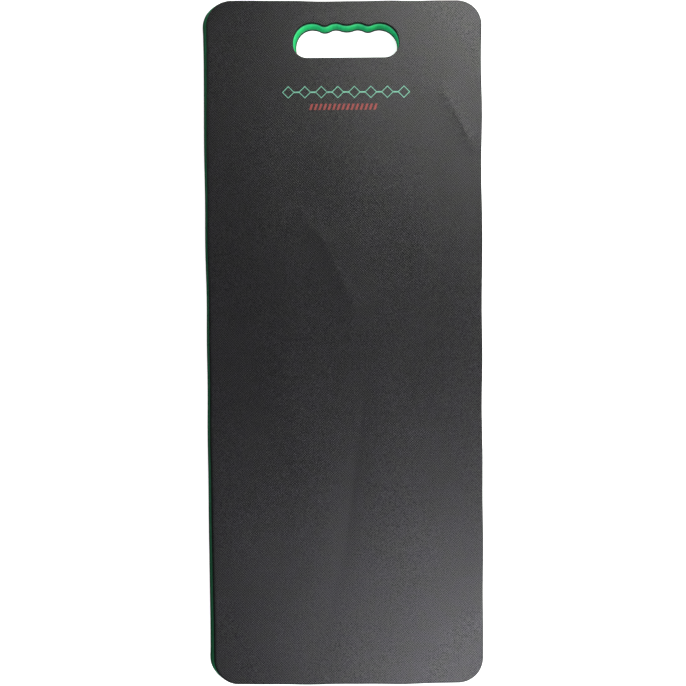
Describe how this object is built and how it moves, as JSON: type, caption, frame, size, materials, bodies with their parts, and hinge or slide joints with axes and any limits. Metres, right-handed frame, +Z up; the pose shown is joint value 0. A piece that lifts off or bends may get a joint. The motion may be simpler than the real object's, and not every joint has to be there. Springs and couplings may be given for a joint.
{
  "type": "kneeling pad",
  "caption": "Flat rectangular foam kneeling pad with rounded corners, a thick core between thin skins, and a scalloped hand slot near one end.",
  "frame": {"origin": "middle of the face that rests on the ground", "axes": "+X across the width, +Y along the length towards the hand slot, +Z up towards the kneeling face"},
  "size_m": [0.3, 0.75, 0.03],
  "materials": {
    "skin_foam": "matte charcoal closed-cell foam sheet with a fine woven emboss",
    "core_foam": "matte green closed-cell foam with die-cut walls",
    "bond_adhesive": "thin dull bond line",
    "green_ink": "matt pale green screen print",
    "red_ink": "matt brick red screen print"
  },
  "bodies": {
    "root": {"bottom_skin": "skin_foam", "bottom_bond_film": "bond_adhesive", "foam_core": "core_foam", "top_bond_film": "bond_adhesive", "top_skin": "skin_foam", "print_green": "green_ink", "print_red": "red_ink"}
  },
  "joints": []
}
